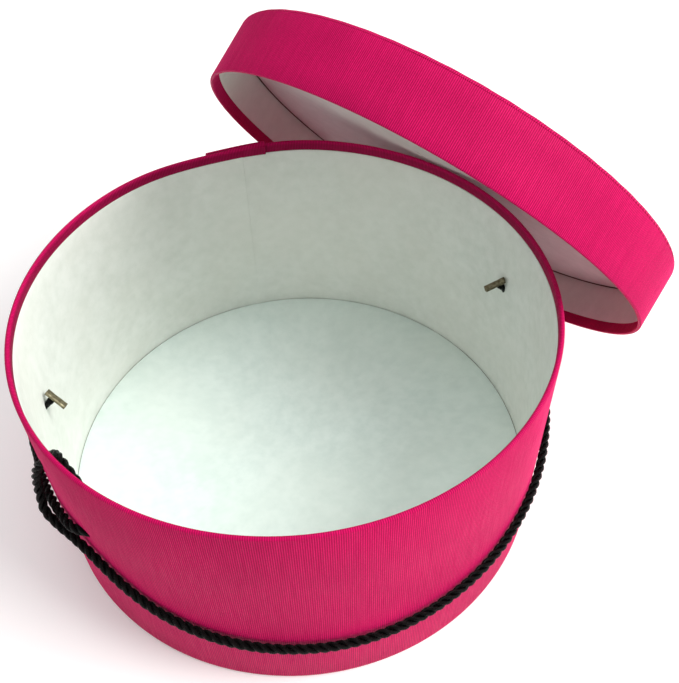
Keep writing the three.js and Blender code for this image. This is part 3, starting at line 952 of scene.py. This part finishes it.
def disc_outline(radius, bottom, top, edge, ring_step):
    """Half the section of a disc, from the axis out along its top and back along its bottom."""
    rings = np.linspace(0, radius - edge, max(3, round(radius / ring_step)))
    arc = np.linspace(math.pi / 2, -math.pi / 2, RIM_POINTS)
    middle, half = (top + bottom) / 2, (top - bottom) / 2
    rim = np.stack([radius - edge + edge * np.cos(arc), middle + half * np.sin(arc)], 1)
    upper = np.stack([rings, np.full(len(rings), top)], 1)
    lower = np.stack([rings[::-1], np.full(len(rings), bottom)], 1)
    return np.concatenate([upper, rim[1:-1], lower])


def flat_weave(grid):
    """Weave coordinates of a level sheet whose ribs run along X."""
    closed = np.concatenate([grid, grid[:, :1]], 1)
    return np.stack([closed[..., 1] / RIB_PITCH, closed[..., 0]], 2)


def disc(name, outline, columns, lift=None):
    """A disc about Z. lift(x, y) raises its upper side, short of the rim."""
    angles = round_angles(columns)
    x, y = np.outer(outline[:, 0], np.cos(angles)), np.outer(outline[:, 0], np.sin(angles))
    grid = np.stack([x, y, np.repeat(outline[:, 1][:, None], columns, 1)], 2)
    if lift is not None:
        rings = (len(outline) - RIM_POINTS) // 2
        grid[:rings, :, 2] += lift(x[:rings], y[:rings])
    return clean(from_grid(name, grid, flat_weave(grid), wrap_rows=False))


def gentle(seed, size, height):
    """A low uneven surface over x and y."""
    random = np.random.default_rng(seed)
    waves = [(random.normal(0, 1 / size, 2), random.uniform(0, 2 * math.pi)) for _ in range(7)]

    def lift(x, y):
        return sum(np.cos(k[0] * x + k[1] * y + p) for k, p in waves) * height / len(waves)

    return lift


def make_floor_paper():
    bottom = FLOOR_TOP - FLOOR_PAPER_THICKNESS
    outline = disc_outline(LINING_INNER - FLOOR_SLIT, bottom, FLOOR_TOP, 0.4, 8)
    paper = disc("floor_paper", outline, DISC_COLUMNS, gentle(21, 30, 0.25))
    return finish_piece(paper, FLOOR_PAPER, "drum", "lining_paper", "body_floor_liner")


def make_base_card():
    outline = disc_outline(BASE_CARD_RADIUS, 0, BASE_CARD, 0.3, 20)
    card = disc("base_card", outline, DISC_COLUMNS)
    return finish_piece(card, BOARD, "drum", "board", "body_base_card")


punches = wall_punches()
make_drum_cloth(punches)
make_lap()
make_wall_paper(punches)
discard(punches)
make_floor_paper()
make_base_card()

# ---------------------------------------------------------------- lid


def lid_place():
    """Where the lid's opening is and how it is turned, as it stands on the floor and leans."""
    rise = math.radians(LID_AXIS_RISE)
    height = LID_RADIUS * math.cos(rise) + FOOT_CLEARANCE
    reach = LID_DEPTH - RIM_CLEARANCE - (DRUM_HEIGHT - height) * math.sin(rise)
    distance = DRUM_RADIUS - reach / math.cos(rise)
    where = Vector(polar(LID_DIRECTION, distance, height)) * MM
    turn = Matrix.Rotation(math.radians(LID_DIRECTION), 4, "Z")
    tilt = Matrix.Rotation(math.pi / 2 - rise, 4, "Y")
    return Matrix.Translation(where) @ turn @ tilt


LID_PLACE = lid_place()


def finish_lid(piece, material, slot, node):
    """Lid pieces are made with the opening at height 0 and the top up, then put in place."""
    piece.data.transform(LID_PLACE)
    return finish_piece(piece, material, "lid", slot, node)


LID_SLACK = 0.25
PUCKERS = 60
PUCKER_HEIGHT = 0.3
PUCKER_REACH = 9
DOME = 0.9
PADDING_BOTTOM = 48.1
PADDING_ROUND = 5
PADDING_GAP = 1


def make_band_cloth():
    """The ribbed cloth round the lid's band, from its top edge down over the board's lower edge to
    the end of its turn-in."""
    top, board, lining = LID_BAND_HEIGHT, LID_RADIUS - FABRIC, LID_LINING_OUTER
    corners = [
        (LID_INNER, 0), (LID_RADIUS, 0), (LID_RADIUS, top), (LID_BOARD_INNER, top),
        (LID_BOARD_INNER, top - FABRIC), (board, top - FABRIC), (board, FABRIC),
        (lining, FABRIC), (lining, LID_TURN_IN), (LID_INNER, LID_TURN_IN),
    ]
    radii = [1.0, 1.0, 0.5, 0.2, 0.2, 0.3, 0.5, 0.5, 0.2, 0.2]
    outline = divided(filleted(corners, radii, 2), longest=13)
    count, angles = rib_angles(LID_RADIUS)
    shown = shown_side(outline, lining - 0.15, board + 0.1)[:, None]
    slack = LID_SLACK * ripple(angles, outline[:, 1], 33)
    push = shown * (ribs(count, angles)[None, :] + slack)
    band = clean(revolved("lid_band_cloth", outline, angles, push, count))
    return finish_lid(band, CLOTH, "ribbed_cloth", "lid_band_fabric")


def top_cloth_outline():
    """Half the top cloth's section: out along its upper side, round the shoulder, and back."""
    edge, outer = LID_BAND_HEIGHT + GAP, LID_RADIUS
    flat = outer - LID_SHOULDER
    arc = np.linspace(math.pi / 2, 0, 9)
    shoulder_height = edge + (LID_HEIGHT - edge) * np.sin(arc)
    shoulder = np.stack([flat + LID_SHOULDER * np.cos(arc), shoulder_height], 1)
    rings = np.linspace(0, flat, 28)[:-1]
    upper = np.concatenate([np.stack([rings, np.full(len(rings), LID_HEIGHT)], 1), shoulder])
    lower = upper[::-1] - [0, FABRIC]
    lower[:, 0] *= 1 - FABRIC / outer
    return np.concatenate([upper, lower])


def make_top_cloth():
    """The cloth over the padded top, drawn in at the edge so that it puckers a little."""
    outline = top_cloth_outline()
    angles = round_angles(432)
    radius, height = outline[:, 0], outline[:, 1]
    near = np.exp(-(((radius - LID_RADIUS + LID_SHOULDER) / PUCKER_REACH) ** 2))[:, None]
    pucker = PUCKER_HEIGHT * near * ripple(angles, height, 41, 10) * np.cos(PUCKERS * angles)
    dome = DOME * (1 - (radius / LID_RADIUS) ** 2)[:, None]
    x, y = np.outer(radius, np.cos(angles)), np.outer(radius, np.sin(angles))
    grid = np.stack([x, y, height[:, None] + dome + pucker], 2)
    grid[..., 2] += gentle(43, 25, 0.25)(x, y) * (near < 0.5)
    cloth = clean(from_grid("lid_top_cloth", grid, flat_weave(grid), wrap_rows=False))
    return finish_lid(cloth, FLAT_CLOTH, "ribbed_cloth", "lid_top_fabric")


def make_padding():
    radius, top = LID_LINING_OUTER - PADDING_GAP, LID_HEIGHT - FABRIC - GAP
    outline = disc_outline(radius, PADDING_BOTTOM, top, PADDING_ROUND, 10)
    pad = disc("lid_padding", outline, 180, gentle(51, 12, 0.2))
    return finish_lid(pad, WADDING, "wadding", "lid_top_wadding")


def make_band_paper():
    low, high = LID_TURN_IN + GAP, LID_DEPTH - LID_SEAM_GAP
    corners = [(LID_INNER, low), (LID_LINING_OUTER, low), (LID_LINING_OUTER, high), (LID_INNER, high)]
    outline = divided(filleted(corners, [0.2, 0.1, 0.1, 0.1], 2), longest=6)
    angles = round_angles(540)
    inner = (outline[:, 0] < LID_INNER + 0.2)[:, None]
    push = np.where(inner, 0.25 * ripple(angles, outline[:, 1], 61, 9), 0.0)
    paper = clean(revolved("lid_band_paper", outline, angles, push))
    return finish_lid(paper, BAND_PAPER, "lining_paper", "lid_band_liner")


SLIT_PLACE = (-12.1, 21.1)
SLIT_ANGLE = -45.7
SLIT_LENGTH = 10.9
SLIT_WIDTH = 0.7
SLIT_DEPTH = 3


def slit_cutter():
    work = bmesh.new()
    bmesh.ops.create_cube(work, size=1)
    size = Matrix.Diagonal((SLIT_LENGTH * MM, SLIT_WIDTH * MM, SLIT_DEPTH * MM, 1))
    turn = Matrix.Rotation(math.radians(SLIT_ANGLE), 4, "Z")
    where = Vector((*SLIT_PLACE, LID_DEPTH)) * MM
    return placed("slit", work, Matrix.Translation(where) @ turn @ size)


def make_top_paper():
    """The lining under the top, which has a short slit near its middle."""
    radius, top = LID_INNER - LID_SEAM_SLIT, LID_DEPTH + LID_PAPER
    outline = disc_outline(radius, LID_DEPTH, top, LID_PAPER / 2, 8)
    paper = disc("lid_top_paper", outline, DISC_COLUMNS)
    cutters = [slit_cutter()]
    cut(paper, cutters)
    discard(cutters)
    return finish_lid(paper, TOP_PAPER, "lining_paper", "lid_top_liner")


make_band_cloth()
make_top_cloth()
make_padding()
make_band_paper()
make_top_paper()

HIDDEN_BOARDS = (
    "body_wall_board", "body_base_board", "body_lap_board", "lid_band_board", "lid_top_board"
)

for board_name in HIDDEN_BOARDS:
    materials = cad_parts[board_name].data.materials
    materials.clear()
    materials.append(BOARD)

# ---------------------------------------------------------------- studio

FLOOR_REACH = 60.0
FLOOR_DROP = 0.0002


def make_floor():
    mesh = bpy.data.meshes.new("studio_floor")
    r = FLOOR_REACH
    corners = [(-r, -r, 0), (r, -r, 0), (r, r, 0), (-r, r, 0)]
    mesh.from_pydata(corners, [], [(0, 1, 2, 3)])
    mesh.materials.append(studio_floor())
    floor = bpy.data.objects.new("studio_floor", mesh)
    floor.location.z = -FLOOR_DROP
    bpy.context.scene.collection.objects.link(floor)


SKY_STRENGTH = 0.45
KEY_LIGHT = {
    "place": (2.95, -1.0, 2.9), "aim": (0.05, 0, 0.1), "size": 2.8, "power": 187,
    "colour": (1.0, 0.99, 0.96),
}
OVERHEAD_LIGHT = {
    "place": (-0.2, -0.1, 2.6), "aim": (0, 0, 0.1), "size": 2.2, "power": 19, "colour": (1, 1, 1),
}


def area_light(name, place, aim, size, power, colour):
    data = bpy.data.lights.new(name, "AREA")
    data.shape = "DISK"
    data.size = size
    data.energy = power
    data.color = colour
    light = bpy.data.objects.new(name, data)
    turn = (Vector(aim) - Vector(place)).to_track_quat("-Z", "Y").to_matrix().to_4x4()
    light.matrix_world = Matrix.Translation(place) @ turn
    bpy.context.scene.collection.objects.link(light)


def make_studio():
    world = bpy.data.worlds.new("studio")
    world.use_nodes = True
    background = world.node_tree.nodes["Background"]
    background.inputs["Color"].default_value = (1, 1, 1, 1)
    background.inputs["Strength"].default_value = SKY_STRENGTH
    bpy.context.scene.world = world
    area_light("key", **KEY_LIGHT)
    area_light("overhead", **OVERHEAD_LIGHT)
    bpy.context.scene.view_settings.view_transform = "Standard"


make_floor()
make_studio()
